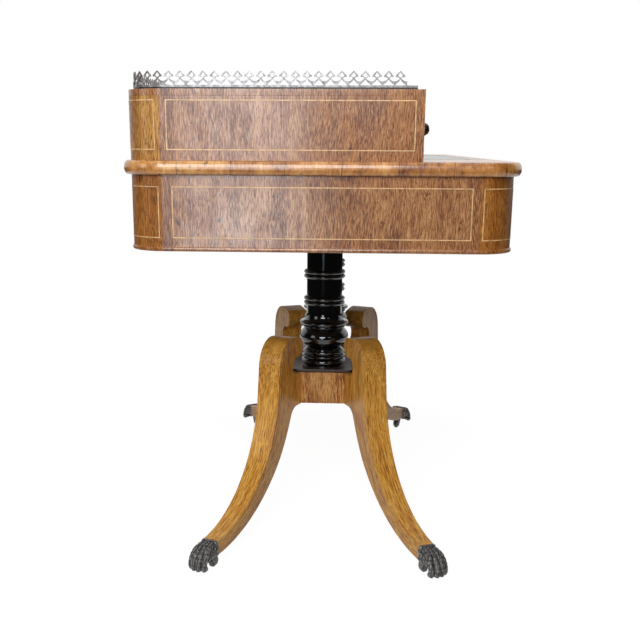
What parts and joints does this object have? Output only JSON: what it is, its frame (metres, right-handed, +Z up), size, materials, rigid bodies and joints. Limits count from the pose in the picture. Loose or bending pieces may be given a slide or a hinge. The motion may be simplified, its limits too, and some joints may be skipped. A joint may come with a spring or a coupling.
{
  "type": "carlton house desk",
  "caption": "Writing desk with a U-shaped bank of drawers and a pierced gallery, on twin turned columns and four hipped sabre legs with paw feet on casters.",
  "frame": {"origin": "on the floor under the middle of the desk", "axes": "+X along the desk to the sitter's right, +Y from the sitter to the back, +Z up"},
  "size_m": [1.2, 0.649, 0.885],
  "materials": {
    "rosewood": "satin, faded rosewood veneer",
    "rosewood_dark": "satin, darker rosewood veneer",
    "golden_wood": "satin, golden brown wood",
    "ebonised": "gloss, ebonised",
    "leather": "matt, dark green leather",
    "silvered_metal": "worn silver-grey",
    "oak": "matt, waxed oak",
    "patinated_metal": "worn dark patina"
  },
  "bodies": {
    "desk": {"tabletop": "rosewood", "writing_leather": "leather", "frieze_end_left": "rosewood", "frieze_end_right": "rosewood", "frieze_back": "rosewood", "frieze_front_rail": "rosewood", "frieze_corner_posts": "rosewood_dark", "bottom_board": "oak", "frieze_dividers": "oak", "drawer_guides": "oak", "bearer": "rosewood_dark", "bearer_screws": "patinated_metal", "upper_end_left": "rosewood", "upper_end_right": "rosewood", "upper_back": "rosewood", "upper_corner_posts": "rosewood_dark", "wing_inner_left": "rosewood_dark", "wing_inner_right": "rosewood_dark", "upper_partitions": "rosewood_dark", "upper_top": "rosewood", "gallery_left": "silvered_metal", "gallery_back": "silvered_metal", "gallery_right": "silvered_metal", "column_left": "ebonised", "column_right": "ebonised", "plinth_board": "rosewood_dark", "platform_block": "golden_wood", "leg_front_left": "golden_wood", "leg_front_right": "golden_wood", "leg_back_left": "golden_wood", "leg_back_right": "golden_wood", "paw_front_left": "patinated_metal", "paw_front_right": "patinated_metal", "paw_back_left": "patinated_metal", "paw_back_right": "patinated_metal"},
    "frieze_drawer_left": {"frieze_drawer_left": "rosewood", "frieze_knob_left": "ebonised"},
    "frieze_drawer_centre": {"frieze_drawer_centre": "rosewood", "frieze_knobs_centre": "ebonised"},
    "frieze_drawer_right": {"frieze_drawer_right": "rosewood", "frieze_knob_right": "ebonised"},
    "wing_drawer_left": {"wing_drawer_left": "rosewood_dark", "wing_knob_left": "ebonised"},
    "wing_drawer_right": {"wing_drawer_right": "rosewood_dark", "wing_knob_right": "ebonised"},
    "back_drawer_left": {"back_drawer_left": "rosewood", "back_knob_left": "ebonised"},
    "back_drawer_centre": {"back_drawer_centre": "rosewood", "back_knob_centre": "ebonised"},
    "back_drawer_right": {"back_drawer_right": "rosewood", "back_knob_right": "ebonised"},
    "caster_front_left": {"caster_front_left": "patinated_metal"},
    "wheel_front_left": {"wheel_front_left": "patinated_metal"},
    "caster_front_right": {"caster_front_right": "patinated_metal"},
    "wheel_front_right": {"wheel_front_right": "patinated_metal"},
    "caster_back_left": {"caster_back_left": "patinated_metal"},
    "wheel_back_left": {"wheel_back_left": "patinated_metal"},
    "caster_back_right": {"caster_back_right": "patinated_metal"},
    "wheel_back_right": {"wheel_back_right": "patinated_metal"}
  },
  "joints": [
    {"name": "frieze_drawer_left_slide", "type": "slide", "parent": "desk", "child": "frieze_drawer_left", "axis": [0, -1, 0], "range_m": [0, 0.34]},
    {"name": "frieze_drawer_centre_slide", "type": "slide", "parent": "desk", "child": "frieze_drawer_centre", "axis": [0, -1, 0], "range_m": [0, 0.34]},
    {"name": "frieze_drawer_right_slide", "type": "slide", "parent": "desk", "child": "frieze_drawer_right", "axis": [0, -1, 0], "range_m": [0, 0.34]},
    {"name": "wing_drawer_left_slide", "type": "slide", "parent": "desk", "child": "wing_drawer_left", "axis": [0, -1, 0], "range_m": [0, 0.17]},
    {"name": "wing_drawer_right_slide", "type": "slide", "parent": "desk", "child": "wing_drawer_right", "axis": [0, -1, 0], "range_m": [0, 0.17]},
    {"name": "back_drawer_left_slide", "type": "slide", "parent": "desk", "child": "back_drawer_left", "axis": [0, -1, 0], "range_m": [0, 0.11]},
    {"name": "back_drawer_centre_slide", "type": "slide", "parent": "desk", "child": "back_drawer_centre", "axis": [0, -1, 0], "range_m": [0, 0.11]},
    {"name": "back_drawer_right_slide", "type": "slide", "parent": "desk", "child": "back_drawer_right", "axis": [0, -1, 0], "range_m": [0, 0.11]},
    {"name": "caster_front_left_swivel", "type": "hinge", "parent": "desk", "child": "caster_front_left", "pos_m": [-0.47469, -0.20282, 0.0277], "axis": [0, 0, 1], "continuous": true},
    {"name": "wheel_front_left_spin", "type": "hinge", "parent": "caster_front_left", "child": "wheel_front_left", "pos_m": [-0.46361, -0.1982, 0.0125], "axis": [0.3851, -0.9229, 0], "continuous": true},
    {"name": "caster_front_right_swivel", "type": "hinge", "parent": "desk", "child": "caster_front_right", "pos_m": [0.47469, -0.20282, 0.0277], "axis": [0, 0, 1], "continuous": true},
    {"name": "wheel_front_right_spin", "type": "hinge", "parent": "caster_front_right", "child": "wheel_front_right", "pos_m": [0.46361, -0.1982, 0.0125], "axis": [-0.3851, -0.9229, 0], "continuous": true},
    {"name": "caster_back_left_swivel", "type": "hinge", "parent": "desk", "child": "caster_back_left", "pos_m": [-0.47469, 0.20282, 0.0277], "axis": [0, 0, 1], "continuous": true},
    {"name": "wheel_back_left_spin", "type": "hinge", "parent": "caster_back_left", "child": "wheel_back_left", "pos_m": [-0.46361, 0.1982, 0.0125], "axis": [0.3851, 0.9229, 0], "continuous": true},
    {"name": "caster_back_right_swivel", "type": "hinge", "parent": "desk", "child": "caster_back_right", "pos_m": [0.47469, 0.20282, 0.0277], "axis": [0, 0, 1], "continuous": true},
    {"name": "wheel_back_right_spin", "type": "hinge", "parent": "caster_back_right", "child": "wheel_back_right", "pos_m": [0.46361, 0.1982, 0.0125], "axis": [-0.3851, 0.9229, 0], "continuous": true}
  ]
}
